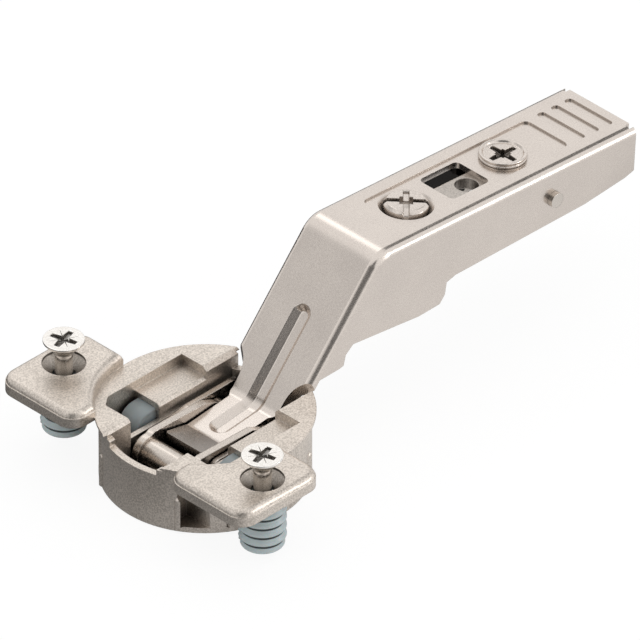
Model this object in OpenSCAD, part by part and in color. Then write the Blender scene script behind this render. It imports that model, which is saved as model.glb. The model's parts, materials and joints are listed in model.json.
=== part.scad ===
// Concealed cup hinge with clip-on arm, shown open with the arm over the door edge.
// Origin on the cup axis at the door face, +Z out of the cup, +X along the arm.

/* [Cup] */
// Radius of the cup body below the door face
cup_r = 17.1; // [16.9:0.05:17.2]
// Radius of the rim that covers the edge of the bore
rim_r = 17.8; // [17.5:0.1:18.2]
// Height of the rim above the door face
rim_h = 0.45; // [0.4:0.05:0.8]
// Depth of the cup below the door face
cup_depth = 11.8; // [11.8:0.1:13.5]
// Thickness of the outer cup wall
cup_wall = 1.2; // [1:0.1:1.3]
// Height of the cup floor's upper side
floor_z = -10.8; // [-10.9:0.05:-10.7]
// Half width of the chamber at the rim
chamber_y = 7.8; // [7.7:0.05:7.9]
// Half width of the chamber between the pin walls
link_bay_y = 7.2; // [7.15:0.05:7.25]
// Half width of the chamber's front bay
front_bay_y = 6.2; // [6.15:0.05:6.3]
// Top of the wall at the front of the cup
front_wall_z = -1.7; // [-2.5:0.1:-1]

/* [Wings] */
// Thickness of a fixing wing
wing_t = 2.9; // [2.6:0.1:3.2]
// Front edge of the wings
wing_front_x = -19.3; // [-20:0.1:-18.8]
// Rear edge of the wings
wing_rear_x = -0.9; // [-1.5:0.1:0]
// Inner end of the wings, from the cup axis
wing_inner_y = 10.6; // [10.4:0.1:11]
// Outer end of the wings, from the cup axis
wing_outer_y = 27.7; // [27.2:0.1:28.5]
// Radius of a wing's corners in plan
wing_corner_r = 3; // [2.6:0.1:3.2]
// Radius of the rolled upper edge of a wing
wing_roll_r = 1.15; // [1:0.05:1.3]
// Radius of the concave edge that faces the rim
wing_bow_r = 17.7; // [17.5:0.1:17.8]

/* [Fixing] */
// Distance between the two fixing screws
fix_pitch = 45; // [45:1:45]
// Distance of the fixing screws from the cup axis
fix_x = -9.5; // [-9.6:0.1:-9.4]
// Diameter of a screw head
head_d = 6.8; // [6.6:0.1:6.9]
// Diameter of a screw shank
shank_d = 3; // [2.8:0.1:3.1]
// Height by which the screws stand above their seats
screw_lift = 4.7; // [4.6:0.1:4.7]
// Diameter over the barbs of a dowel
dowel_d = 7.8; // [7.6:0.1:8]
// Length of a dowel below the wing
dowel_len = 10.1; // [9.8:0.1:11]

/* [Linkage] */
// Pivot of the outer link in the cup, x and z
pivot_a = [-7.8, -6.5];
// Pivot of the inner link plates in the cup, x and z
pivot_b = [-3.6, -6.25];
// Pivot of the arm on the outer link, x and z
pivot_c = [7.8, -6.8];
// Pivot of the arm on the inner link plates, x and z
pivot_d = [11.85, -6.6];
// Diameter of the front axle
axle_d = 2.5; // [2.3:0.1:2.6]
// Diameter of the other pivot pins
pin_d = 2.2; // [2:0.1:2.2]
// Radial clearance of a turning fit
turn_gap = 0.05; // [0.03:0.01:0.08]
// Radial clearance of a pressed fit
press_gap = 0.02; // [0.01:0.01:0.03]
// Radial clearance of the rear arm pin in the inner link plates
open_gap = 0.28; // [0.26:0.02:0.3]

/* [Arm] */
// Thickness of the arm's sheet
arm_t = 1.4; // [1.3:0.05:1.45]
// Half width of the arm over its flanges
arm_y = 8.4; // [8.3:0.05:8.6]
// Rear end of the arm
arm_rear_x = 89.7; // [88:0.1:91]
// Slope of the long web, falling to the rear
arm_tilt = 3.8; // [3.5:0.1:4]
// Front edge of the nose's upper side, x and z
nose_front = [-4.8, -3.8];
// Lowest line of the nose's upper side, x and z
nose_dip = [0.45, -4.95];
// Lower bend as a sharp corner, x and z
lower_bend = [10.9, -4.0];
// Upper bend as a sharp corner, x and z
upper_bend = [31.3, 19.0];
// Radius of the lower bend on the upper side
lower_bend_r = 2.5; // [2:0.1:3]
// Radius of the upper bend on the upper side
upper_bend_r = 5; // [4.6:0.1:5.4]
// Radius of the bends between web and flanges
flange_r = 1.5; // [1.4:0.1:1.6]
// Half width of the flat floor of the stiffening bead
bead_floor = 0.85; // [0.7:0.05:1]
// Depth of the bead
bead_depth = 1.05; // [0.8:0.05:1.1]
// Centre of the bead's front end, as x
bead_front_x = 3.6; // [3.2:0.1:4]
// Centre of the bead's upper end, as distance up the incline from the lower bend
bead_top_s = 16; // [15:0.1:17]

/* [Adjusters] */
// Distance of the side screw behind the upper bend
side_screw_s = 14.2; // [13.9:0.1:14.4]
// Distance of the depth cam behind the upper bend
depth_cam_s = 36.3; // [36:0.1:36.5]
// Diameter of the side screw's head
side_head_d = 7.4; // [7.2:0.1:7.6]
// Diameter of the depth cam's head
cam_head_d = 7.9; // [7.6:0.1:8]
// Distance of the latch pin behind the upper bend
latch_pin_s = 39.8; // [39.6:0.1:40]
// Depth of the latch pin below the web's upper side
latch_pin_w = -5.75; // [-5.9:0.05:-5.6]

/* [Hidden] */
$fn = 48;
eps = 0.01;
big = 60;
bore_r = cup_r - cup_wall;
fix_y = fix_pitch / 2;
// Pin walls beside the link bay
pin_wall_t = 1;
pin_wall_z = -4.2;
pin_end_y = link_bay_y + pin_wall_t - 0.05;
// Sheet layers of the linkage, from the middle plane outwards
nose_y = 4.4;
lug_t = 1.2;
outer_link_y0 = 4.65;
outer_link_y1 = 5.95;
inner_link_y0 = 6.15;
inner_link_y1 = 7.05;
// Damper bays
bay_front_x = -10.6;
tunnel_front_x = -2.6;
tunnel_rear_x = 8;
tunnel_y0 = 8.5;
tunnel_y1 = 13;
tunnel_top_z = -2.4;
tunnel_floor_z = -9.8;
housing_top_z = -1.4;
housing_y1 = 13.4;
// End radius of the inner link plates and the room round it
link_end_r = 2.1;
link_room = 0.2;
damper_mid_y = (tunnel_y0 + tunnel_y1) / 2;
damper_mid_z = -6;
damper_front_x = 4.4;
rod_end_x = 5.2;
// Long web of the arm in its own frame: s runs back from the upper bend, w up
web_len = (arm_rear_x - upper_bend.x) / cos(arm_tilt);
arm_rear_top = [arm_rear_x, upper_bend.y - (arm_rear_x - upper_bend.x) * tan(arm_tilt)];
incline = atan2(upper_bend.y - lower_bend.y, upper_bend.x - lower_bend.x);
panel_depth = 0.35;
carriage_top = -arm_t;
carriage_roof_t = 2;
carriage_y1 = arm_y - arm_t - 0.1;
carriage_wall_t = 1.3;
carriage_front_s = 7;
carriage_wall_rear_s = 34.5;
carriage_rear_s = 44.5;
carriage_low_w = -11.2;
// Cross pin at the carriage's front, in the frame of the long web
hook_s = 10.6;
hook_w = -8.6;
// Travel of the carriage to the front and to the rear, with its end play
travel_front = 3.1;
travel_rear = 2.1;
cross_pin_r = 1.3;
side_seat_r = side_head_d / 2 + turn_gap;
// Depth of the countersink round the side screw
side_sink = 0.85;
latch_y = 5.2;
latch_cheek_t = 1.1;
// Height of the side screw's head above the web
side_head_lift = 0.45;

// Points of the arc that rounds corner b of the path a-b-c with radius r
function corner_arc(a, b, c, r, n = 10) =
    let (
        u = (a - b) / norm(a - b),
        v = (c - b) / norm(c - b),
        half = acos(u * v) / 2,
        centre = b + (u + v) / norm(u + v) * r / sin(half),
        start = b + u * r / tan(half) - centre,
        end = b + v * r / tan(half) - centre,
        a0 = atan2(start.y, start.x),
        sweep = (atan2(end.y, end.x) - a0 + 540) % 360 - 180
    )
    [for (i = [0:n]) centre + r * [cos(a0 + sweep * i / n), sin(a0 + sweep * i / n)]];

// Corner b of the path a-b-c moved t below the path
function corner_below(a, b, c, t) =
    let (
        d = (b - a) / norm(b - a),
        e = (c - b) / norm(c - b),
        n = [d.y, -d.x],
        m = [e.y, -e.x]
    )
    b + (n + m) * t / (1 + n * m);

// Point p of the segment p-q moved t below the segment
function end_below(p, q, t) =
    let (d = (q - p) / norm(q - p))
    p + t * [d.y, -d.x];

// Upper side of the arm's sheet moved t below itself, from the nose to the rear
function sheet_line(t) =
    let (
        a = end_below(nose_front, nose_dip, t),
        b = corner_below(nose_front, nose_dip, lower_bend, t),
        c = corner_below(nose_dip, lower_bend, upper_bend, t),
        d = corner_below(lower_bend, upper_bend, arm_rear_top, t),
        e = end_below(arm_rear_top, 2 * arm_rear_top - upper_bend, t)
    )
    concat([a], corner_arc(a, b, c, 1.5 + t, 4), corner_arc(b, c, d, lower_bend_r + t),
        corner_arc(c, d, e, upper_bend_r - t), [e]);

// Outline with every corner rounded by its own radius
function rounded_outline(pts, radii) =
    let (n = len(pts))
    [for (i = [0:n - 1])
        for (p = corner_arc(pts[(i + n - 1) % n], pts[i], pts[(i + 1) % n], radii[i], 6)) p];

function reversed(list) = [for (i = [len(list) - 1:-1:0]) list[i]];

// Extrudes an x-z outline to both sides of the middle plane
module across(width) {
    rotate([90, 0, 0])
        linear_extrude(width, center = true)
            children();
}

// Extrudes an x-z outline between y0 and y1 on the given side
module side_plate(side, y0, y1) {
    translate([0, side * (y0 + y1) / 2, 0])
        across(y1 - y0)
            children();
}

// Round pin or bore along y through an x-z point
module cross_pin(at, r, y0, y1) {
    translate([at.x, y1, at.y])
        rotate([90, 0, 0])
            cylinder(r = r, h = y1 - y0);
}

// Frame of the long web: x back along the web, z up from its upper side
module on_web(s = 0, w = 0) {
    translate([upper_bend.x, 0, upper_bend.y])
        rotate([0, arm_tilt, 0])
            translate([s, 0, w])
                children();
}

// Rectangle with rounded corners between two opposite corners
module rounded_rect(x0, x1, y0, y1, r) {
    translate([x0 + r, y0 + r])
        offset(r = r)
            square([x1 - x0 - 2 * r, y1 - y0 - 2 * r]);
}

// Plan of one wing on the +y side, drawn in by the given inset
module wing_plan(inset) {
    rounded_rect(wing_front_x + inset, wing_rear_x - inset,
        wing_inner_y + inset, wing_outer_y - inset, wing_corner_r - inset);
}

// One wing: a plate with a small ledge and a rolled upper edge, on the +y side
module wing_blank() {
    ledge = 0.12;
    linear_extrude(wing_t - wing_roll_r) wing_plan(0);
    hull()
        for (a = [0:22.5:90])
            translate([0, 0, wing_t - wing_roll_r * (1 - sin(a)) - 0.05])
                linear_extrude(0.05) wing_plan(ledge + wing_roll_r * (1 - cos(a)));
}

// Concave, rolled edge between the wings and the rim
module wing_bow() {
    rotate_extrude($fn = 96)
        polygon([
            [0, rim_h], [wing_bow_r, rim_h], [wing_bow_r, 1.5], [wing_bow_r + 0.15, 2.1],
            [wing_bow_r + 0.5, 2.5], [wing_bow_r + 1.2, wing_t], [wing_bow_r + 1.2, 4], [0, 4]
        ]);
}

// Countersunk hole of a fixing screw
module fixing_hole() {
    seat_r = head_d / 2 + 0.2;
    hole_r = 1.9;
    cone_z = wing_t - 0.45;
    translate([0, 0, -1]) cylinder(r = hole_r, h = 6);
    translate([0, 0, cone_z]) cylinder(r = seat_r, h = 2);
    translate([0, 0, cone_z - seat_r + hole_r])
        cylinder(r1 = hole_r, r2 = seat_r, h = seat_r - hole_r);
}

// Crush rib that grips the bore, at the given angle, with a pointed upper end
module crush_rib(angle) {
    rib_r = 0.9;
    out = 0.4;
    rotate([0, 0, angle])
        translate([cup_r + out - rib_r, 0, -cup_depth + 0.3]) {
            cylinder(r = rib_r, h = 5.6);
            translate([0, 0, 5.6]) cylinder(r1 = rib_r, r2 = rib_r - out, h = 0.8);
        }
}

module cup_blank() {
    translate([0, 0, -cup_depth]) cylinder(r = cup_r, h = cup_depth, $fn = 96);
    translate([0, 0, -cup_depth + 6]) cylinder(r = cup_r, h = 6, $fn = 96);
    cylinder(r = rim_r, h = rim_h, $fn = 96);
    for (side = [0, 1])
        mirror([0, side, 0])
            wing_blank();
    for (angle = [149, -149, 121, -121, 58, -58])
        crush_rib(angle);
}

// Plan of the link chamber with the given half widths of its main and front bay
module chamber_plan(main_y, bay_y) {
    intersection() {
        circle(r = bore_r, $fn = 96);
        union() {
            translate([bay_front_x, -main_y]) square([big, 2 * main_y]);
            translate([-big, -bay_y]) square([big, 2 * bay_y]);
        }
    }
    translate([bay_front_x, -link_bay_y])
        square([pivot_d.x + link_end_r + link_room - bay_front_x, 2 * link_bay_y]);
}

module chamber_cut() {
    translate([0, 0, floor_z])
        linear_extrude(big) chamber_plan(link_bay_y, front_bay_y);
    translate([0, 0, pin_wall_z])
        linear_extrude(big) chamber_plan(chamber_y, front_bay_y);
    // Passage of the arm over the rear wall
    translate([8, -chamber_y, -2.6]) cube([big, 2 * chamber_y, big]);
    // Lower front wall between the wings, with a tooth at each end
    for (step = [[front_bay_y, 1], [front_bay_y - 0.9, 0]])
        translate([-big, -step[0], front_wall_z + step[1]])
            cube([big + bay_front_x, 2 * step[0], big]);
}

// Open bay, tunnel and recessed roof of one damper, on the +y side
module damper_cut() {
    wall_y1 = link_bay_y + pin_wall_t;
    intersection() {
        translate([0, 0, tunnel_floor_z]) cylinder(r = bore_r, h = big, $fn = 96);
        union() {
            translate([bay_front_x, wall_y1, tunnel_floor_z])
                cube([tunnel_front_x - bay_front_x, housing_y1 - wall_y1, big]);
            translate([bay_front_x, chamber_y - 1, pin_wall_z])
                cube([tunnel_front_x - bay_front_x, 3, big]);
            translate([bay_front_x + 1.1, chamber_y - 1, housing_top_z])
                cube([tunnel_rear_x - bay_front_x - 1.1, housing_y1 - chamber_y + 1, big]);
        }
    }
    translate([tunnel_rear_x, 0, 0])
        rotate([0, -90, 0])
            linear_extrude(tunnel_rear_x - tunnel_front_x + 1)
                rounded_rect(tunnel_floor_z, tunnel_top_z, tunnel_y0, tunnel_y1, 1);
}

// Weight-saving pocket in the cup's side below one wing, on the +y side
module side_pocket() {
    front_x = -14.8;
    translate([front_x, link_bay_y + 0.2, floor_z])
        cube([-11.5 - front_x, big, -floor_z - 1]);
    translate([front_x, 9.6, floor_z])
        cube([-11.5 - front_x, big, -floor_z]);
    translate([front_x, 14.3, floor_z])
        cube([-9.2 - front_x, big, -floor_z]);
}

// Bevel of an edge that runs along x from x0 to x1 at the given y and z
module edge_bevel(x0, x1, y, z, leg) {
    width = leg * sqrt(2);
    translate([x0, y, z])
        rotate([45, 0, 0])
            translate([0, -width / 2, -width / 2])
                cube([x1 - x0, width, width]);
}

// Bevelled edges of the front block, the damper roof and the rim behind it, on the +y side
module chamber_bevels() {
    edge_bevel(-cup_r, bay_front_x, front_bay_y, rim_h, 0.5);
    edge_bevel(tunnel_front_x, tunnel_rear_x, chamber_y, housing_top_z, 0.5);
    edge_bevel(tunnel_rear_x, big, chamber_y, rim_h, 0.78);
}

module hinge_cup() {
    color("silver")
        difference() {
            cup_blank();
            wing_bow();
            chamber_cut();
            for (side = [0, 1])
                mirror([0, side, 0]) {
                    damper_cut();
                    side_pocket();
                    chamber_bevels();
                    translate([fix_x, fix_y, 0]) fixing_hole();
                }
            cross_pin(pivot_a, axle_d / 2 + press_gap, -pin_end_y, pin_end_y);
            cross_pin(pivot_b, pin_d / 2 + press_gap, -pin_end_y, pin_end_y);
        }
}

module front_axle() {
    color("gainsboro")
        cross_pin(pivot_a, axle_d / 2, -pin_end_y, pin_end_y);
}

// Spacer sleeve between the outer link's cheeks
module axle_sleeve() {
    color("silver")
        difference() {
            cross_pin(pivot_a, 2.4, -outer_link_y0, outer_link_y0);
            cross_pin(pivot_a, axle_d / 2 + turn_gap, -big, big);
        }
}

module inner_pivot(side) {
    y0 = inner_link_y0 - 0.05;
    color("gainsboro")
        side_plate_pin(side, pivot_b, pin_d / 2, y0, pin_end_y);
}

// Round pin on one side only
module side_plate_pin(side, at, r, y0, y1) {
    translate([at.x, side * (y0 + y1) / 2, at.y])
        rotate([90, 0, 0])
            cylinder(r = r, h = y1 - y0, center = true);
}

module inner_pivot_left() { inner_pivot(1); }
module inner_pivot_right() { inner_pivot(-1); }

// Leaf spring that lies on the cup floor and turns up at the front
module closing_spring() {
    t = 0.35;
    front_x = -bore_r + 1;
    width = 2 * (nose_y - 0.6);
    color("dimgray")
        across(width)
            polygon([
                [-5.4, floor_z], [-5.4, floor_z + t], [front_x + 1.1, floor_z + t],
                [front_x + 0.5, floor_z + 0.8], [front_x + 0.35, -6.6], [front_x, -6.6],
                [front_x + 0.15, floor_z + 0.6], [front_x + 0.9, floor_z]
            ]);
}

// Damper cylinder at the closed end of the tunnel, on the +y side
module damper_body() {
    translate([damper_front_x, damper_mid_y, damper_mid_z])
        rotate([0, 90, 0])
            difference() {
                cylinder(r = 2.2, h = tunnel_rear_x - damper_front_x);
                translate([0, 0, -1]) cylinder(r = 0.85, h = 4.3);
            }
}

// Sliding block with its rod, on the +y side
module damper_block() {
    gap = 0.15;
    rear_x = 1.5;
    intersection() {
        translate([0, damper_mid_y, 0])
            across(tunnel_y1 - tunnel_y0 - 2 * gap)
                polygon(rounded_outline([
                    [rear_x, tunnel_top_z - gap], [-6.2, tunnel_top_z - gap], [-9.9, -8.4],
                    [-9.9, tunnel_floor_z + gap], [rear_x, tunnel_floor_z + gap]
                ], [0.8, 2.2, 1, 0.6, 0.8]));
        translate([rear_x + 1, 0, 0])
            rotate([0, -90, 0])
                linear_extrude(20)
                    rounded_rect(tunnel_floor_z + gap, tunnel_top_z - gap,
                        tunnel_y0 + gap, tunnel_y1 - gap, 1);
        translate([0, 0, tunnel_floor_z]) cylinder(r = bore_r - gap, h = 12, $fn = 96);
    }
    translate([rear_x - 0.5, damper_mid_y, damper_mid_z])
        rotate([0, 90, 0])
            cylinder(r = 0.8, h = rod_end_x - rear_x + 0.5);
}

module damper_left() { color("slategray") damper_body(); }
module damper_right() { color("slategray") mirror([0, 1, 0]) damper_body(); }
module damper_pusher_left() { color("lightslategray") damper_block(); }
module damper_pusher_right() { color("lightslategray") mirror([0, 1, 0]) damper_block(); }

// Barbed dowel with its screw bore and cross slot
module dowel() {
    r = dowel_d / 2;
    core_r = r - 0.55;
    barb_pitch = 1.85;
    barb_count = 4;
    barb_z0 = -1.2;
    tip_z = -dowel_len;
    difference() {
        union() {
            translate([0, 0, barb_z0]) cylinder(r = r, h = -barb_z0);
            translate([0, 0, tip_z + 1.4]) cylinder(r = core_r, h = dowel_len - 1.4);
            translate([0, 0, tip_z]) cylinder(r1 = core_r - 0.9, r2 = core_r, h = 1.4);
            for (i = [0:barb_count - 1])
                translate([0, 0, barb_z0 - (i + 1) * barb_pitch])
                    cylinder(r1 = core_r, r2 = r, h = barb_pitch - 0.35);
        }
        translate([0, 0, -dowel_len - 1])
            cylinder(r = shank_d / 2 + turn_gap, h = dowel_len + 2);
        translate([-0.35, -big / 2, -dowel_len - 1]) cube([0.7, big, 6.5]);
    }
}

// Cross recess: four tapered wings and four fine lines between them
module cross_recess(r, depth) {
    for (a = [0, 90])
        rotate([0, 0, a])
            hull() {
                translate([-r, -r * 0.24, 0]) cube([2 * r, r * 0.48, eps]);
                translate([-r * 0.45, -r * 0.2, -depth]) cube([r * 0.9, r * 0.4, eps]);
            }
}

module fixing_screw() {
    r = head_d / 2;
    shank_r = shank_d / 2;
    seat_top = wing_t + screw_lift;
    cone_z = seat_top - 0.35 - (r - shank_r);
    shank_tip = -4.5;
    difference() {
        union() {
            translate([0, 0, seat_top - 0.35]) cylinder(r = r, h = 0.35);
            translate([0, 0, cone_z]) cylinder(r1 = shank_r, r2 = r, h = r - shank_r);
            translate([0, 0, shank_tip + 1]) cylinder(r = shank_r, h = cone_z + 0.3 - shank_tip - 1);
            translate([0, 0, shank_tip]) cylinder(r1 = 0.6, r2 = shank_r, h = 1);
        }
        translate([0, 0, seat_top + eps]) rotate([0, 0, 15]) cross_recess(2, 1.7);
        translate([0, 0, seat_top])
            for (a = [0, 90])
                rotate([0, 0, a + 60])
                    cube([3.4, 0.12, 0.24], center = true);
    }
}

module dowel_left() { color("slategray") translate([fix_x, fix_y, 0]) dowel(); }
module dowel_right() { color("slategray") translate([fix_x, -fix_y, 0]) dowel(); }
module fixing_screw_left() { color("whitesmoke") translate([fix_x, fix_y, 0]) fixing_screw(); }
module fixing_screw_right() { color("whitesmoke") translate([fix_x, -fix_y, 0]) fixing_screw(); }

// Side outline of the outer link's cheeks
module outer_link_outline() {
    a = pivot_a;
    c = pivot_c;
    top_z = -3.05;
    translate(a) circle(r = 2.95);
    translate(c) circle(r = 2.2);
    polygon([
        [a.x - 2.6, a.y + 1.4], [a.x + 1.1, top_z], [a.x + 12.6, top_z - 0.25],
        [c.x, c.y + 2.2], [c.x, c.y - 2.2], [a.x, a.y - 2.95]
    ]);
}

module outer_link() {
    color("silver")
        difference() {
            union() {
                for (side = [-1, 1])
                    side_plate(side, outer_link_y0, outer_link_y1) outer_link_outline();
                // Bridge below the sleeve that ties the cheeks
                translate([pivot_a.x, 0, pivot_a.y])
                    rotate([90, 0, 0])
                        rotate([0, 0, 200])
                            rotate_extrude(angle = 62)
                                translate([2.65, -outer_link_y0 - 0.2])
                                    square([0.85, 2 * outer_link_y0 + 0.4]);
            }
            cross_pin(pivot_a, axle_d / 2 + turn_gap, -big, big);
            cross_pin(pivot_c, pin_d / 2 + turn_gap, -big, big);
        }
}

// Side outline of an inner link plate
module inner_link_outline() {
    b = pivot_b;
    d = pivot_d;
    r = link_end_r;
    polygon(rounded_outline([
        [b.x - r, b.y - r], [b.x - r, b.y + r], [b.x + 2, b.y + r], [b.x + 6, -3.5],
        [d.x + r, -3.4], [d.x + r, d.y - r]
    ], [r - 0.02, r - 0.1, 1.5, 1.5, 1.9, r - 0.02]));
}

module inner_link(side) {
    difference() {
        side_plate(side, inner_link_y0, inner_link_y1) inner_link_outline();
        cross_pin(pivot_b, pin_d / 2 + turn_gap, -big, big);
        cross_pin(pivot_d, pin_d / 2 + open_gap, -big, big);
    }
}

module inner_link_left() { color("silver") inner_link(1); }
module inner_link_right() { color("silver") inner_link(-1); }
module arm_pin_front() {
    color("gainsboro")
        cross_pin(pivot_c, pin_d / 2, -outer_link_y1, outer_link_y1);
}
module arm_pin_rear() {
    color("gainsboro")
        cross_pin(pivot_d, pin_d / 2, -inner_link_y1, inner_link_y1);
}

// Side outline of the bent sheet from the nose to the rear end
module sheet_outline() {
    polygon(concat(sheet_line(0), reversed(sheet_line(arm_t))));
}

// Plan of the sheet: narrow nose, neck and full width behind it
module arm_plan() {
    neck = [10.7, 5.1];
    shoulder = [16.3, arm_y];
    half = concat([[nose_front.x, 3.9], [-4.3, 4.3], [9.7, nose_y], neck],
        corner_arc(neck, [14.1, 5.2], shoulder, 3, 6), [shoulder, [arm_rear_x + 2, arm_y]]);
    polygon(concat(half, reversed([for (p = half) [p.x, -p.y]])));
}

// Side outline of a flange, below the sheet's upper side
module flange_outline() {
    low = [
        [16.95, 1.35], [21.9, 1.37], [22.9, 1.57], [23.4, 3.4], [25.1, 4.66],
        [35.6, 3.27], [39.9, 2.68], [44.7, 2.72], [45.9, 4.05], [46.3, 6.2],
        [48.35, 6.67], [77.8, 5.9], [87.1, 6.5], [89.2, 7.0], [90.2, 9]
    ];
    top = [for (p = sheet_line(0)) if (p.x > 16) p];
    polygon(concat(low, reversed(top), [[16.2, 1.9]]));
}

// Outline of the lugs that carry both arm pins below the nose
module lug_outline() {
    c = pivot_c;
    d = pivot_d;
    r = 2.05;
    translate(c) circle(r = r);
    translate(d) circle(r = r);
    polygon([
        [0.7, -5.6], [1.3, -6.7], [4.6, -7.7], [c.x, c.y - r], [d.x, d.y - r],
        [d.x + r, d.y], [14.4, -2.6], [14, -1.2], [10.8, -4.7], [4, -5.2]
    ]);
}

// Waste outside a rounded edge of the arm, as points [y, height below the web's upper side]
function edge_waste() =
    let (c = arm_y - flange_r, over = 0.02)
    concat([[c - 0.15, over]],
        [for (a = [81:-18:9]) [c + flange_r * cos(a), -flange_r + flange_r * sin(a)]],
        [[arm_y + over, -flange_r - 0.15], [arm_y + 1, -flange_r - 0.15], [arm_y + 1, 1],
         [c - 0.15, 1]]);

// Straight run of a rounded edge, on the +y side
module edge_run(length) {
    rotate([90, 0, 90])
        linear_extrude(length)
            polygon(edge_waste());
}

// Turn of both rounded edges round the upper bend
module edge_turn(centre) {
    translate([centre.x, 0, centre.y])
        rotate([90, 0, 0])
            rotate([0, 0, 90 - arm_tilt])
                rotate_extrude(angle = incline + arm_tilt)
                    for (side = [-1, 1])
                        polygon([for (p = edge_waste()) [upper_bend_r + p.y, side * p.x]]);
}

// Mounting window, adjuster holes and shallow forms in the long web
module web_cuts() {
    on_web() {
        translate([0, 0, -panel_depth])
            linear_extrude(5) rounded_rect(9, 46.6, -5, 5, 1.2);
        translate([0, 0, -5])
            linear_extrude(10) rounded_rect(20.9, 29.6, -3.9, 3.9, 1);
        translate([side_screw_s, 0, -5]) cylinder(r = side_seat_r, h = 10);
        translate([side_screw_s, 0, -panel_depth - side_sink])
            cylinder(r1 = side_seat_r, r2 = side_seat_r + side_sink, h = side_sink);
        translate([depth_cam_s, 0, -5]) cylinder(r = 2.6, h = 10);
        for (s = [49.7, 52.9, 56])
            translate([0, 0, -0.35])
                linear_extrude(5) rounded_rect(s - 0.8, s + 0.8, -5, 5, 0.7);
        for (side = [-1, 1])
            translate([web_len - 0.9, side * 7.2 - 0.5, -3]) cube([3, 1, 6]);
    }
}

// Half section of the bead's waste, as points [distance from its middle, height]
function bead_half() =
    let (foot = [bead_floor, -bead_depth], lip = [bead_floor + bead_depth, 0.03])
    concat(corner_arc([0, -bead_depth], foot, lip, 0.5, 4),
        corner_arc(foot, lip, [lip.x + 1, lip.y], 0.6, 4),
        [[lip.x + 0.25, 1]]);

function bead_section() =
    concat(bead_half(), reversed([for (p = bead_half()) [-p.x, p.y]]));

module bead_run(length) {
    rotate([90, 0, 90])
        linear_extrude(length)
            polygon(bead_section());
}

module bead_end() {
    rotate_extrude()
        polygon(concat([[0, 1], [0, -bead_depth]], bead_half()));
}

// Stiffening bead pressed into the nose and the incline, through the lower bend
module bead_cut() {
    c = corner_arc(nose_dip, lower_bend, upper_bend, lower_bend_r, 1);
    nose_slope = atan2(lower_bend.y - nose_dip.y, lower_bend.x - nose_dip.x);
    centre = c[0] + lower_bend_r * [-sin(nose_slope), cos(nose_slope)];
    nose_len = (c[0].x - bead_front_x) / cos(nose_slope);
    incline_len = bead_top_s - norm(c[1] - lower_bend);
    translate([c[0].x, 0, c[0].y])
        rotate([0, -nose_slope, 0]) {
            translate([-nose_len, 0, 0]) bead_run(nose_len);
            translate([-nose_len, 0, 0]) bead_end();
        }
    translate([centre.x, 0, centre.y])
        rotate([90, 0, 0])
            rotate([0, 0, nose_slope - 90])
                rotate_extrude(angle = incline - nose_slope)
                    polygon([for (p = bead_section()) [lower_bend_r - p.y, p.x]]);
    translate([c[1].x, 0, c[1].y])
        rotate([0, -incline, 0]) {
            bead_run(incline_len);
            translate([incline_len, 0, 0]) bead_end();
        }
}

module hinge_arm() {
    c = corner_arc(lower_bend, upper_bend, arm_rear_top, upper_bend_r, 1);
    turn_centre = c[1] - upper_bend_r * [sin(arm_tilt), cos(arm_tilt)];
    run_s = upper_bend_r * tan((incline + arm_tilt) / 2);
    incline_len = norm(upper_bend - lower_bend);
    color("silver")
        difference() {
            union() {
                intersection() {
                    across(2 * arm_y) sheet_outline();
                    translate([0, 0, -20]) linear_extrude(60) arm_plan();
                }
                for (side = [-1, 1]) {
                    side_plate(side, arm_y - arm_t, arm_y) flange_outline();
                    side_plate(side, nose_y - lug_t, nose_y) lug_outline();
                }
            }
            web_cuts();
            bead_cut();
            for (side = [0, 1])
                mirror([0, side, 0]) {
                    on_web(run_s - 0.4) edge_run(web_len);
                    translate([upper_bend.x, 0, upper_bend.y])
                        rotate([0, -incline, 0])
                            translate([-incline_len + 6, 0, 0])
                                edge_run(incline_len - 5.6 - run_s);
                }
            edge_turn(turn_centre);
            translate([arm_rear_top.x, -big, 0])
                on_end_plane() cube([10, 2 * big, 40]);
            cross_pin(pivot_c, pin_d / 2 + press_gap, -big, big);
            cross_pin(pivot_d, pin_d / 2 + press_gap, -big, big);
            on_web(latch_pin_s, latch_pin_w) cross_pin([0, 0], cross_pin_r + press_gap, -big, big);
        }
}

// Plane of the arm's rear end, square to the long web
module on_end_plane() {
    translate([0, 0, arm_rear_top.y])
        rotate([0, arm_tilt, 0])
            translate([0, 0, -30])
                children();
}

// Side outline of the carriage walls in the frame of the long web
module carriage_wall_outline() {
    polygon([
        [carriage_front_s, carriage_top], [carriage_wall_rear_s, carriage_top],
        [carriage_wall_rear_s, -7.6], [carriage_wall_rear_s - 1.5, -9.2],
        [14.5, carriage_low_w + 0.6], [9.2, carriage_low_w + 0.2],
        [carriage_front_s, carriage_low_w + 2]
    ]);
}

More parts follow.
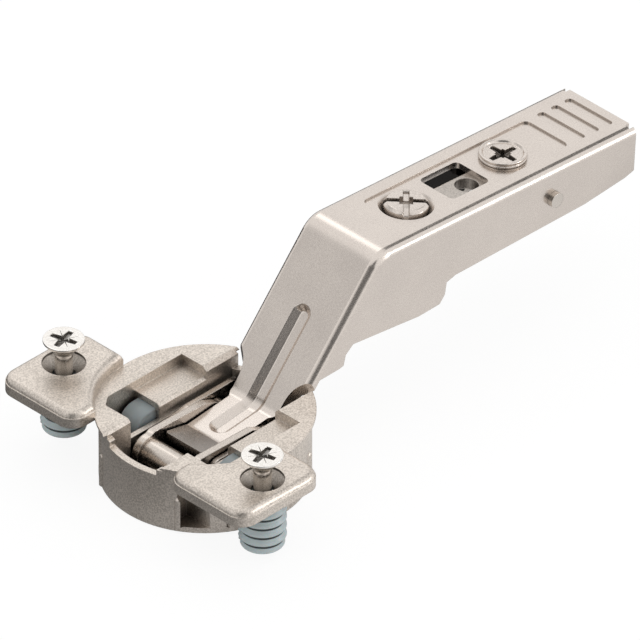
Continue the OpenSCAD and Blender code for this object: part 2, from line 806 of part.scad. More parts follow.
// Carriage that slides under the web and clips over the mounting plate
module carriage() {
    color("silver")
        on_web()
            difference() {
                union() {
                    translate([carriage_front_s, -carriage_y1, carriage_top - carriage_roof_t])
                        cube([carriage_wall_rear_s - carriage_front_s, 2 * carriage_y1, carriage_roof_t]);
                    translate([carriage_wall_rear_s - 1, -6, carriage_top - carriage_roof_t])
                        cube([carriage_rear_s - carriage_wall_rear_s + 1, 12, carriage_roof_t]);
                    for (side = [-1, 1])
                        side_plate(side, carriage_y1 - carriage_wall_t, carriage_y1)
                            carriage_wall_outline();
                }
                // Slot of the side screw's neck, open to the front
                translate([0, 0, -10])
                    linear_extrude(20)
                        hull() {
                            translate([side_screw_s + travel_front, 0]) circle(r = 2.1);
                            circle(r = 2.1);
                        }
                // Slot of the depth cam's hub
                translate([0, 0, -10])
                    linear_extrude(20)
                        hull() {
                            translate([depth_cam_s - travel_rear, 0]) circle(r = 2.6);
                            translate([depth_cam_s + travel_front, 0]) circle(r = 2.6);
                        }
                // Opening and round hole seen through the arm's window
                translate([0, 0, -10])
                    linear_extrude(20) rounded_rect(20.3, 30.3, 1.5, 4.8, 0.6);
                translate([27, -1.1, -10]) cylinder(r = 2, h = 20);
                translate([hook_s, 0, hook_w])
                    cross_pin([0, 0], cross_pin_r + press_gap, -big, big);
            }
}

module hook_pin() {
    color("gainsboro")
        on_web(hook_s, hook_w)
            cross_pin([0, 0], cross_pin_r, -carriage_y1, carriage_y1);
}

// Side adjusting screw: slotted head in the collar, neck and foot below the carriage roof
module side_screw() {
    roof_under = carriage_top - carriage_roof_t;
    color("whitesmoke")
        on_web(side_screw_s)
            difference() {
                union() {
                    translate([0, 0, carriage_top + 0.02])
                        cylinder(r = side_head_d / 2, h = -carriage_top + side_head_lift);
                    translate([0, 0, roof_under - 0.8]) cylinder(r = 2, h = 4);
                    translate([0, 0, roof_under - 1]) cylinder(r = 3, h = 0.95);
                }
                translate([0, 0, side_head_lift])
                    rotate([0, 0, 45]) {
                        for (a = [0, 90])
                            rotate([0, 0, a])
                                cube([side_head_d + 1, 0.9, 1.8], center = true);
                        cube([2, 2, 3.4], center = true);
                    }
            }
}

// Depth cam: raised head on the web, hub through web and carriage, foot below
module depth_cam() {
    roof_under = carriage_top - carriage_roof_t;
    head_h = 1;
    dish_r = cam_head_d / 2 - 0.6;
    dish_w = head_h - panel_depth - 0.45;
    color("whitesmoke")
        on_web(depth_cam_s)
            difference() {
                union() {
                    translate([0, 0, -panel_depth]) cylinder(r = cam_head_d / 2, h = head_h);
                    translate([0, 0, roof_under - 0.1])
                        cylinder(r = 2.5, h = head_h - roof_under - panel_depth);
                    translate([0, 0, roof_under - 0.35]) cylinder(r = 3.4, h = 0.3);
                }
                translate([0, 0, dish_w]) cylinder(r1 = dish_r - 0.3, r2 = dish_r, h = 1);
                translate([0, 0, dish_w + eps]) cross_recess(2.6, 1.5);
            }
}

// Side outline of the latch's cheeks in the frame of the long web
module latch_outline() {
    s = latch_pin_s;
    w = latch_pin_w;
    polygon(rounded_outline([
        [s - 1.95, w + 1.9], [s + 3, w + 1.6], [s + 15.5, w + 0.6], [s + 16.9, w - 0.4],
        [s + 16.9, w - 1.6], [s + 10.2, w - 2.6], [s + 9.6, w - 4.6], [s + 7.4, w - 4.9],
        [s + 6.6, w - 2.8], [s, w - 1.95], [s - 1.95, w - 1.95]
    ], [1.85, 1, 0.5, 0.4, 0.6, 0.8, 0.5, 0.4, 0.8, 0.3, 1.85]));
}

// Release lever that hooks the mounting plate and turns on the latch pin
module clip_latch() {
    s = latch_pin_s;
    w = latch_pin_w;
    color("silver")
        on_web()
            difference() {
                across(2 * latch_y) latch_outline();
                translate([s - 3, -latch_y + latch_cheek_t, w - 6])
                    cube([9, 2 * (latch_y - latch_cheek_t), 12]);
                translate([s + 11, -3.6, w - 6]) cube([4, 7.2, 5.2]);
                translate([s, 0, w]) cross_pin([0, 0], cross_pin_r + turn_gap, -big, big);
            }
}

module latch_pin() {
    stub = 0.95;
    color("gainsboro")
        on_web(latch_pin_s, latch_pin_w)
            cross_pin([0, 0], cross_pin_r, -arm_y - stub, arm_y + stub);
}

// Torsion spring wound round the latch pin, as a round wire swept along a helix
module latch_spring() {
    coil_r = 1.65;
    wire_r = 0.25;
    turns = 5;
    length = 6.4;
    steps = 24 * turns;
    sides = 8;
    points = [
        for (i = [0:steps]) let (t = i / steps, a = 360 * turns * t)
            for (j = [0:sides - 1]) let (b = 360 * j / sides, r = coil_r + wire_r * cos(b))
                [r * cos(a), length * (t - 0.5) + wire_r * sin(b), r * sin(a)]
    ];
    walls = [
        for (i = [0:steps - 1]) for (j = [0:sides - 1])
            [i * sides + j, i * sides + (j + 1) % sides,
             (i + 1) * sides + (j + 1) % sides, (i + 1) * sides + j]
    ];
    ends = [
        [for (j = [sides - 1:-1:0]) j],
        [for (j = [0:sides - 1]) steps * sides + j]
    ];
    color("gray")
        on_web(latch_pin_s, latch_pin_w)
            polyhedron(points, concat(walls, ends));
}

hinge_cup();
front_axle();
axle_sleeve();
inner_pivot_left();
inner_pivot_right();
closing_spring();
damper_left();
damper_right();
damper_pusher_left();
damper_pusher_right();
dowel_left();
dowel_right();
fixing_screw_left();
fixing_screw_right();
outer_link();
inner_link_left();
inner_link_right();
arm_pin_front();
arm_pin_rear();
hinge_arm();
carriage();
hook_pin();
side_screw();
depth_cam();
clip_latch();
latch_pin();
latch_spring();
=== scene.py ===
# %% [markdown]
# # A concealed cup hinge in Blender
# This is the hinge that hides inside a kitchen door. A round die-cast cup is pressed
# into the door, a cranked steel arm clips on a plate in the cabinet, and pivoting links
# join the two. The solids come from a CAD model. They could be rendered as they are,
# but then every sheet would look like plain grey putty. So this script keeps their
# sizes and places, and adds what a camera sees: finishes, fine forms and light.

# %% Load the frame
import json
import math

import bmesh
import bpy
import numpy as np
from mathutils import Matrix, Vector


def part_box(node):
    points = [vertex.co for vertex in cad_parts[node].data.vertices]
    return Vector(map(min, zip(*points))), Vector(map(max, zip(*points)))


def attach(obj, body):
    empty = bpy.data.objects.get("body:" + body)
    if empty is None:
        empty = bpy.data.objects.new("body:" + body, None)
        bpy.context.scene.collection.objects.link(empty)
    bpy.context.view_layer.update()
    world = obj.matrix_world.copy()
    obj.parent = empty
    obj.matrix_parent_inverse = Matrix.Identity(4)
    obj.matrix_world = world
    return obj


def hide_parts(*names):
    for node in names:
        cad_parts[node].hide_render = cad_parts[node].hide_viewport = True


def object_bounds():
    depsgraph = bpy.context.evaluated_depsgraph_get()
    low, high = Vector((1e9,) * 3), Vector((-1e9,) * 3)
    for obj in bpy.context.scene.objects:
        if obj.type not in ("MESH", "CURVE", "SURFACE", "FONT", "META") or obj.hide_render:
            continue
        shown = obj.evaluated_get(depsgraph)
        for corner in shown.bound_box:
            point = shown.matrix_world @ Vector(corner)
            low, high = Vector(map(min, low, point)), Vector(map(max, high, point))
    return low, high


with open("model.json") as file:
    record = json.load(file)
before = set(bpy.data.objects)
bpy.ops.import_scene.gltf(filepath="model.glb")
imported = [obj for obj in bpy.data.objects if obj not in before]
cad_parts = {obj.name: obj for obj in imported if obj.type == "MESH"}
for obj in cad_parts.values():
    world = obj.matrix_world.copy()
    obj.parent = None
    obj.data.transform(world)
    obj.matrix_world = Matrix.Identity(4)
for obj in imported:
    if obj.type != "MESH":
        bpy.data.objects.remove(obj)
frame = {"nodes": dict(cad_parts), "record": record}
cad_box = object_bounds()
MM = 0.001

# %% [markdown]
# ## Shader maths as Python
# A finish is a small graph of nodes. It can be wired by hand in the Shader Editor, but
# a long graph is hard to read back. Here a wrapped socket can be added and multiplied
# like a number, and each operation puts one Math node into the graph.


# %% Expressions that build nodes
class Signal:
    """A socket that carries a number over the surface; each +, - or * adds a Math node."""

    def __init__(self, finish, socket):
        self.finish, self.socket = finish, socket

    def math(self, operation, *values):
        """A Math node with these values or signals as its inputs."""
        inputs = dict(enumerate(values))
        return self.finish.add("ShaderNodeMath", {"operation": operation}, inputs)

    def __add__(self, other):
        return self.math("ADD", self, other)

    def __sub__(self, other):
        return self.math("SUBTRACT", self, other)

    def __rsub__(self, other):
        return self.math("SUBTRACT", other, self)

    def __mul__(self, other):
        return self.math("MULTIPLY", self, other)

    def at_least(self, other):
        return self.math("MAXIMUM", self, other)

    def at_most(self, other):
        return self.math("MINIMUM", self, other)


class Finish:
    """One node graph, of a material or of the world."""

    def __init__(self, tree):
        self.tree = tree
        self.tree.nodes.clear()

    def add(self, kind, settings=None, inputs=None, output=0):
        """Adds a node with its settings, gives each named input a value or a link, and
        returns one of its outputs as a signal."""
        node = self.tree.nodes.new(kind)
        for name, value in (settings or {}).items():
            setattr(node, name, value)
        for name, value in (inputs or {}).items():
            socket = node.inputs[name]
            if isinstance(value, Signal):
                self.tree.links.new(value.socket, socket)
            elif socket.type == "RGBA" and len(value) == 3:
                socket.default_value = (*value, 1)
            else:
                socket.default_value = value
        return Signal(self, node.outputs[output]) if node.outputs else None


def new_finish(name):
    """A new material and the graph that its finish is drawn with."""
    material = bpy.data.materials.new(name)
    material.use_nodes = True
    return material, Finish(material.node_tree)


def ray_kinds(finish, *kinds):
    """For each kind, a signal that is 1 for rays of this kind and 0 for all others."""
    return [finish.add("ShaderNodeLightPath", output=f"Is {kind} Ray") for kind in kinds]


def dot(finish, place, axis):
    """The dot product of a place or direction with a fixed axis: how far along it lies."""
    return finish.add("ShaderNodeVectorMath", {"operation": "DOT_PRODUCT"},
                      {0: place, 1: axis}, output="Value")


def ramp(finish, value, low, high, first=0.0, last=1.0):
    """first where the value is below low, last above high, and a smooth step between."""
    return finish.add("ShaderNodeMapRange", {"interpolation_type": "SMOOTHSTEP"},
                      {"Value": value, "From Min": low, "From Max": high,
                       "To Min": first, "To Max": last})


print("shader expressions are ready")

# %% [markdown]
# ## Nickel over zinc and steel
# The cup is cast in zinc and the arm is bent from steel sheet, and both are nickel
# plated. A casting keeps the fine sandy skin of its mould, so its shine is broken into
# tiny grains. Rolled sheet has a smoother satin. An image of scratched metal would
# repeat and stretch, so two sizes of noise on the object's own millimetres are used.
# Both tint and roughen, and the finer one also lifts a small bump. A node that measures how
# open a place is darkens the colour there: painted shade in creases and between parts.


# %% Metal finishes
def grain(finish, size_mm, detail, stretch=(1, 1, 1)):
    """Noise of grains about size_mm across, from 0 to 1, in the object's coordinates.

    A higher detail adds finer noise, and a stretch below 1 draws the grains out along an axis."""
    place = finish.add("ShaderNodeTexCoord", output="Object")
    scale = tuple(s / MM for s in stretch)
    in_mm = finish.add("ShaderNodeMapping", {}, {"Vector": place, "Scale": scale})
    return finish.add("ShaderNodeTexNoise", {},
                      {"Vector": in_mm, "Scale": 1 / size_mm, "Detail": detail})


def mixed(finish, factor, first, second):
    """A colour between two colours."""
    return finish.add("ShaderNodeMix", {"data_type": "RGBA"},
                      {"Factor": factor, 6: first, 7: second}, output=2)


def grooves(finish):
    """The attribute pressed: 0 on a plain surface and up to 1 in grooves and recesses, where it
    paints shade.
    """
    return finish.add("ShaderNodeAttribute", {"attribute_name": "pressed"}, output="Fac")


# the next colour is painted shade: creases, gaps between parts, recesses and shade boxes darken
# towards it
PAINTED_SHADE = (0.02, 0.018, 0.016)
CREASE_SHIFT = 2.4
# a box of painted shade darkens a rectangle where the inside of the hinge lies in shade; its edge
# is this steep
SHADE_BOX_EDGE = 8  # steepness of the edge of a hole's shade, per mm


def metal(name, dark, light, rough, speckle_mm, lift_mm, edge_mm=0.12, stretch=(1, 1, 1),
          shade_box_mm=None, shade_box_keeps=0.0, gap=1.0, near_mm=7.0, creased=2.2):
    """Plated metal: tint and roughness vary with the speckle, and edges are eased by edge_mm.

    Of its own colour, creased * (open air + 1) - CREASE_SHIFT is left, held within 0 and 1,
    where open air is the share of rays of near_mm that hit nothing: painted shade in creases
    and between parts. Only gap of this painted shade counts. The attribute pressed paints shade
    into recesses too, and inside the rectangle shade_box_mm (x0, x1, y0, y1) only shade_box_keeps
    of the
    rest is left: a box of painted shade."""
    material, finish = new_finish(name)
    speckle = grain(finish, speckle_mm, 3.0, stretch)
    cloud = grain(finish, 6.0, 1.0)
    # noise keeps close to 0.5, so its distance from there is made larger
    tint = (speckle - 0.5) * 3.5 + (cloud - 0.5) * 0.8 + 0.5
    own_colour = mixed(finish, tint.at_least(0).at_most(1), dark, light)
    # painted shade: the colour darkens where rays of near_mm hit something, and where pressed
    # marks a recess
    open_air = finish.add("ShaderNodeAmbientOcclusion", {"samples": 8},
                          {"Distance": near_mm * MM}, output="AO")
    pressed = grooves(finish)
    free = (open_air * creased + (creased - CREASE_SHIFT)).at_least(0).at_most(1)
    free = (free * gap + (1 - gap)) * (1 - pressed)
    # painted shade over a rectangle of the object's own x and y
    if shade_box_mm:
        place = finish.add("ShaderNodeTexCoord", output="Object")
        x, y = (finish.add("ShaderNodeSeparateXYZ", {}, {0: place}, output=axis)
                for axis in ("X", "Y"))
        x0, x1, y0, y1 = (edge * MM for edge in shade_box_mm)
        inside = (x - x0).at_most(x1 - x).at_most(y - y0).at_most(y1 - y) * (SHADE_BOX_EDGE / MM)
        free = free * (1 - inside.at_least(0).at_most(1) * (1 - shade_box_keeps))
    colour = mixed(finish, free, PAINTED_SHADE, own_colour)
    roughness = (speckle - 0.5) * 0.25 + (cloud - 0.5) * 0.1 + rough
    eased = finish.add("ShaderNodeBevel", {"samples": 6}, {"Radius": edge_mm * MM})
    bump = finish.add("ShaderNodeBump", {},
                      {"Strength": 0.6, "Distance": lift_mm * MM, "Height": speckle,
                       "Normal": eased})
    shader = finish.add("ShaderNodeBsdfPrincipled", {},
                        {"Base Color": colour, "Metallic": 1.0, "Roughness": roughness,
                         "Normal": bump})
    finish.add("ShaderNodeOutputMaterial", {}, {"Surface": shader})
    return material


FINISHES = {
    "cast_zinc": metal(
        "cast_zinc", dark=(0.54, 0.485, 0.43), light=(0.84, 0.765, 0.69), rough=0.40,
        speckle_mm=0.28, lift_mm=0.04, edge_mm=0.2, gap=0.85),
    # the arm's box paints shade over its nose, in front of x = 0.1 mm
    "arm_steel": metal(
        "arm_steel", dark=(0.66, 0.595, 0.545), light=(0.76, 0.69, 0.63), rough=0.24,
        speckle_mm=0.22, lift_mm=0.008, edge_mm=0.05, shade_box_mm=(-9, 0.1, -9, 9), shade_box_keeps=0.45,
        gap=0.9, near_mm=1.2, creased=2.05),
    "link_steel": metal(
        "link_steel", dark=(0.58, 0.52, 0.47), light=(0.72, 0.655, 0.59), rough=0.28,
        speckle_mm=0.25, lift_mm=0.004, edge_mm=0.25),
    "steel_pin": metal(
        "steel_pin", dark=(0.60, 0.55, 0.50), light=(0.76, 0.70, 0.64), rough=0.24,
        speckle_mm=0.12, lift_mm=0.002, stretch=(1, 0.05, 1)),
    "spring_steel": metal(
        "spring_steel", dark=(0.20, 0.19, 0.18), light=(0.30, 0.29, 0.28), rough=0.35,
        speckle_mm=0.2, lift_mm=0.01),
    "screw_steel": metal(
        "screw_steel", dark=(0.88, 0.84, 0.79), light=(0.97, 0.94, 0.90), rough=0.18,
        speckle_mm=0.3, lift_mm=0.004, gap=0.3),
}
adjuster_steel = metal(
    "adjuster_steel", dark=(0.62, 0.56, 0.51), light=(0.78, 0.71, 0.65), rough=0.22,
    speckle_mm=0.25, lift_mm=0.004, gap=0.35)
OWN_FINISH = {
    # the carriage is zinc like the cup; its darker colours are painted shade, as it sits deep in
    # the hinge, and its box paints deeper shade under the arm's window
    "carriage": metal(
        "carriage_zinc_shaded", dark=(0.42, 0.385, 0.35), light=(0.60, 0.55, 0.50), rough=0.35,
        speckle_mm=0.28, lift_mm=0.03, edge_mm=0.2, shade_box_mm=(50, 70, 2.4, 9)),
    "depth_cam": adjuster_steel,
    "side_screw": adjuster_steel,
}
print("metals:", ", ".join(FINISHES))

# %% [markdown]
# ## Grey-blue plastic
# Dowels and damper blocks are moulded from a slightly cloudy plastic. Light goes a
# little way in, which softens every ridge, so the plastic gets some subsurface
# scattering at a fixed amount, and only its tint and roughness vary.


# %% Plastic finishes
def plastic(name, dark, light, rough):
    """Moulded plastic: soft clouds in the tint, a fine skin, light that sinks in a little.

    The attribute pressed marks grooves, where the colour is darker: painted shade."""
    material, finish = new_finish(name)
    cloud = grain(finish, 3.0, 2.0)
    fine = grain(finish, 0.15, 2.0)
    pressed = grooves(finish)
    # painted shade: grooves darken towards 0.3 of the dark tint
    groove = tuple(tone * 0.3 for tone in dark)
    colour = mixed(finish, pressed, mixed(finish, cloud, dark, light), groove)
    roughness = (fine - 0.5) * 0.15 + rough
    bump = finish.add("ShaderNodeBump", {},
                      {"Strength": 0.4, "Distance": 0.01 * MM, "Height": fine})
    shader = finish.add("ShaderNodeBsdfPrincipled", {},
                        {"Base Color": colour, "Roughness": roughness, "Normal": bump,
                         "Subsurface Weight": 0.15, "Subsurface Scale": 0.5 * MM})
    finish.add("ShaderNodeOutputMaterial", {}, {"Surface": shader})
    return material


FINISHES["dowel_plastic"] = plastic(
    "dowel_plastic", dark=(0.42, 0.49, 0.50), light=(0.54, 0.61, 0.62), rough=0.36)
FINISHES["damper_plastic"] = plastic(
    "damper_plastic", dark=(0.27, 0.31, 0.32), light=(0.34, 0.38, 0.39), rough=0.40)
print("plastics: dowel_plastic, damper_plastic")

# %% [markdown]
# ## Smooth skins over the CAD pieces
# A CAD node arrives as loose flat triangles, so a bend looks like a folded fan. On the
# real sheet a bend is one smooth roll between two flat faces. Subdividing would swell
# the flat faces. Instead each piece is copied and its corners are merged. Faces that
# meet at a small angle then share their normals at the corner between them, and the
# larger plane weighs more, so flat faces stay flat and only the bends are rolled.

# %% What belongs to a node
slot_of = {part["node"]: part["material_slot"] for part in frame["record"]["subparts"]}
body_of_node = {node: body for body, nodes in frame["record"]["behaviour"]["bodies"].items()
                for node in nodes}
print("material slots:", ", ".join(sorted(set(slot_of.values()))))

# %% Skin helpers
SMOOTH_DEG = 32
WELD_MM = 0.002
SAME_PLANE_MM = 0.02


def carry(piece, node):
    """The piece stands for a CAD node: it rides with the node's body, takes the finish of
    the node's slot or one of the node's own, and the node is hidden."""
    piece.data.materials.clear()
    piece.data.materials.append(OWN_FINISH.get(node, FINISHES[slot_of[node]]))
    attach(piece, body_of_node[node])
    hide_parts(node)


def flat_first_normals(mesh):
    """Normal of a corner: sum of the normals of the faces round it that lean away by less
    than SMOOTH_DEG, each times the square of the area of all faces in its plane, so that
    a large flat face stays flat."""
    counts = np.empty(len(mesh.polygons), int)
    area = np.empty(len(mesh.polygons))
    normal = np.empty(len(mesh.polygons) * 3)
    vertex = np.empty(len(mesh.loops), int)
    mesh.polygons.foreach_get("loop_total", counts)
    mesh.polygons.foreach_get("area", area)
    mesh.polygons.foreach_get("normal", normal)
    mesh.loops.foreach_get("vertex_index", vertex)
    centre = np.empty(len(mesh.polygons) * 3)
    mesh.polygons.foreach_get("center", centre)
    normal = normal.reshape(-1, 3)
    height = (normal * centre.reshape(-1, 3)).sum(1) / (SAME_PLANE_MM * MM)
    # the odd offset keeps round values away from the edges of the classes
    planes = np.floor(np.column_stack([normal * 100, height]) + 0.377).astype(int)
    plane = np.unique(planes, axis=0, return_inverse=True)[1].reshape(-1)
    plane_area = np.bincount(plane, weights=area / MM ** 2)[plane]
    face = np.repeat(np.arange(len(counts)), counts)
    corner_normal = normal[face]
    order = np.argsort(vertex, kind="stable")
    shared = np.bincount(vertex, minlength=len(mesh.vertices))
    first = (np.cumsum(shared) - shared)[vertex[order]]
    fans = shared[vertex[order]]
    step = np.arange(fans.sum()) - np.repeat(np.cumsum(fans) - fans, fans)
    mine, other = np.repeat(order, fans), order[np.repeat(first, fans) + step]
    cosine = (corner_normal[mine] * corner_normal[other]).sum(1)
    near = cosine > math.cos(math.radians(SMOOTH_DEG))
    weight = near * plane_area[face[other]] ** 2 + 1e-12
    total = np.zeros_like(corner_normal)
    np.add.at(total, mine, corner_normal[other] * weight[:, None])
    mesh.normals_split_custom_set(total / np.linalg.norm(total, axis=1, keepdims=True))


def skin(node):
    """A merged copy of a CAD node: smooth where faces meet below SMOOTH_DEG, else sharp."""
    mesh = frame["nodes"][node].data.copy()
    welded = bmesh.new()
    welded.from_mesh(mesh)
    bmesh.ops.remove_doubles(welded, verts=welded.verts, dist=WELD_MM * MM)
    bmesh.ops.dissolve_degenerate(welded, edges=welded.edges, dist=WELD_MM / 2 * MM)
    welded.to_mesh(mesh)
    welded.free()
    mesh.shade_smooth()
    flat_first_normals(mesh)
    piece = bpy.data.objects.new(node + "_skin", mesh)
    bpy.context.scene.collection.objects.link(piece)
    carry(piece, node)
    return piece


print("faces are smooth below", SMOOTH_DEG, "degrees")

# %% [markdown]
# ## Which pieces keep their solid
# Most pieces are sheet, casting or pin, and the CAD solid under a smooth skin is all they
# need. Eight small ones have relief that is finer than the solids, so they are made anew
# further down.

# %% Skins
MADE_ANEW = ["fixing_screw_left", "fixing_screw_right", "dowel_left", "dowel_right",
             "damper_pusher_left", "damper_pusher_right", "depth_cam", "side_screw"]
skins = {node: skin(node) for node in sorted(frame["nodes"]) if node not in MADE_ANEW}
print("skins:", len(skins), "faces:", sum(len(p.data.polygons) for p in skins.values()))

# %% [markdown]
# ## Turned pieces
# Screws and adjusters are turned round one axis. Each is a profile, a list of corners
# from one pole to the other, carried round the axis in small steps. A screw's cross is
# then pressed into the grid: a point goes down by the depth of the cross at its place.
# A boolean cut would be sharper, but it leaves long thin faces that shade badly, and
# these edges are rounded on the real screw too. Dowels and damper blocks are closed
# grids as well, so the same helper makes their meshes.

# %% Profiles and grids
SHARP_DEG = 40


def profile(corners, step_mm):
    """Straight lines through the corners (radius, height), cut into steps of step_mm at most."""
    corners = np.asarray(corners, float)
    runs = [np.linspace(a, b, max(2, int(np.hypot(*(b - a)) / step_mm) + 1))[:-1]
            for a, b in zip(corners[:-1], corners[1:])]
    return np.vstack(runs + [corners[-1:]])


def rounded(corners, radius_mm, steps=4):
    """The corners with each inner one replaced by a quadratic curve between its two sides."""
    corners = np.asarray(corners, float)
    bends = [corners[:1]]
    for before, corner, after in zip(corners[:-2], corners[1:-1], corners[2:]):
        back, on = before - corner, after - corner
        reach = min(radius_mm, 0.45 * np.hypot(*back), 0.45 * np.hypot(*on))
        start = corner + back / np.hypot(*back) * reach
        end = corner + on / np.hypot(*on) * reach
        t = np.linspace(0, 1, steps + 1)[:, None]
        bends.append((1 - t) ** 2 * start + 2 * t * (1 - t) * corner + t ** 2 * end)
    return np.vstack(bends + [corners[-1:]])


def round_axis(radius, height, segments):
    """Grid of points (radius cos a, radius sin a, height) at even angles a."""
    angle = np.linspace(0, 2 * np.pi, segments, endpoint=False)
    return np.stack([radius * np.cos(angle), radius * np.sin(angle),
                     height + 0 * angle], axis=-1)


def turn(outline, segments):
    """Grid of an outline of points (radius, height) that is carried round the axis."""
    return round_axis(outline[:, :1], outline[:, 1:], segments)


def smooth_step(value, low, high):
    """0 below low, 1 above high, and 3t^2 - 2t^3 between."""
    t = np.clip((value - low) / (high - low), 0, 1)
    return t * t * (3 - 2 * t)


def turned_piece(name, grid_mm, node, origin, axis=(0, 0, 1), pressed=None):
    """Mesh of a grid that closes round its axis, placed with its z along axis at origin.

    pressed is the amount of painted shade, from 0 on the open surface up to 1 in grooves and
    recesses."""
    rings, segments = grid_mm.shape[:2]
    z = Vector(axis).normalized()
    x = Vector((0, 1, 0)).cross(z).normalized()
    basis = np.array([x, z.cross(x), z])
    places = grid_mm.reshape(-1, 3) @ basis * MM + np.array(origin)
    i, j = np.meshgrid(np.arange(rings - 1), np.arange(segments), indexing="ij")
    after = (j + 1) % segments
    quads = np.stack([i * segments + j, (i + 1) * segments + j, (i + 1) * segments + after,
                      i * segments + after], axis=-1).reshape(-1, 4)
    mesh = bpy.data.meshes.new(name)
    mesh.from_pydata(places.tolist(), [], quads.tolist())
    if pressed is not None:
        mesh.attributes.new("pressed", "FLOAT", "POINT").data.foreach_set(
            "value", np.ascontiguousarray(pressed.reshape(-1), dtype=np.float32))
    closed = bmesh.new()
    closed.from_mesh(mesh)
    bmesh.ops.remove_doubles(closed, verts=closed.verts, dist=0.0005 * MM)
    bmesh.ops.recalc_face_normals(closed, faces=closed.faces)
    closed.to_mesh(mesh)
    closed.free()
    mesh.shade_smooth()
    mesh.set_sharp_from_angle(angle=math.radians(SHARP_DEG))
    piece = bpy.data.objects.new(name, mesh)
    bpy.context.scene.collection.objects.link(piece)
    carry(piece, node)


print("profile and turning helpers are ready")

# %% [markdown]
# ## Fixing screws
# A countersunk screw has a flat head, a thin rim and a cone, and its cross has four
# wide wings for the driver with four hairlines between them. The head is almost white
# in the picture, because it is polished and looks up at the lamp.

# %% Crosses
WALL_MM = 0.12
LINE_MM = 0.16


def cross_depth(x, y, reach, width, depth):
    """Depth of two crossed wings that are 1.25 times width wide in the middle and 0.9 at the tip.

    It goes from 0 to full over WALL_MM inside a wing's edge, and the floor rises from the full
    depth in the middle to 0.55 of it at the distance reach."""
    middle = np.hypot(x, y)
    wings = []
    for along, across in ((abs(x), abs(y)), (abs(y), abs(x))):
        half_width = width / 2 * (1.25 - 0.35 * along / reach)
        wings.append(np.minimum(reach - along, half_width - across))
    inside = smooth_step(np.maximum(*wings), 0, WALL_MM)
    return inside * depth * (1 - 0.45 * np.clip(middle / reach, 0, 1))


def hairlines(x, y, reach, depth):
    """Depth of four V-shaped lines along x and y. A line's half width is LINE_MM in the
    middle and falls in proportion to what is left of reach."""
    lines = []
    for along, across in ((abs(x), abs(y)), (abs(y), abs(x))):
        half_width = LINE_MM * (1 - along / reach).clip(0.01)
        lines.append((along < reach) * (1 - across / half_width))
    return np.clip(np.maximum(*lines), 0, 1) * depth


def turned_by(x, y, degrees):
    """The same points seen in axes that are turned by some degrees."""
    c, s = math.cos(math.radians(degrees)), math.sin(math.radians(degrees))
    return np.array([x * c + y * s, y * c - x * s])


print("cross helpers are ready")

# %% Screws
HEAD_R = 3.4
SHANK_R = 1.5
CORE_MM = 1.35
WINGS_DEG, LINES_DEG = 15, 60
for side in ("left", "right"):
    node = "fixing_screw_" + side
    low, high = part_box(node)
    top = (high.z - low.z) / MM
    cone_foot = top - 0.35 - (HEAD_R - SHANK_R)
    outline = np.vstack([
        profile([(0, top), (HEAD_R - 0.25, top)], 0.05),
        rounded([(HEAD_R - 0.2, top), (HEAD_R, top), (HEAD_R, top - 0.4),
                 (SHANK_R + 0.1, cone_foot), (SHANK_R, cone_foot - 0.3), (SHANK_R, 1),
                 (0.7, 0.1), (0, 0)], 0.12)])
    grid = turn(outline, 288)
    x, y = grid[..., 0], grid[..., 1]
    on_top = grid[..., 2] > top - 0.01
    wing_places = turned_by(x, y, WINGS_DEG)
    wings = cross_depth(*wing_places, reach=2.35, width=1.1, depth=1.1)
    # the core is the square |x| + |y| < CORE_MM between the wings
    core = smooth_step(CORE_MM - abs(wing_places).sum(0), 0, 0.15) * 1.2
    lines = hairlines(*turned_by(x, y, LINES_DEG), reach=2.3, depth=0.3)
    pressed = on_top * np.maximum(np.maximum(wings, core), lines)
    grid[..., 2] -= pressed
    # painted shade in the cross: up to 0.6, reached at 0.3 mm of depth
    turned_piece(node + "_turned", grid, node,
                 ((low.x + high.x) / 2, (low.y + high.y) / 2, low.z),
                 pressed=np.clip(pressed / 0.5, 0, 0.6))
    print(node, "grid", grid.shape[:2])

# %% [markdown]
# ## Dowels
# The dowels grip the bore with barbs like a saw's teeth. In one narrow sector the barbs
# stand half a step off, so the flank looks woven. Modelling each barb would be long
# work, so the radius is a function of height and angle. Its formula is
# radius = full radius - BARB_OUT * (1 - barb), where barb rises fast and falls slowly
# over each BARB_STEP of height. The collar at the top stays full, and the tip is round.

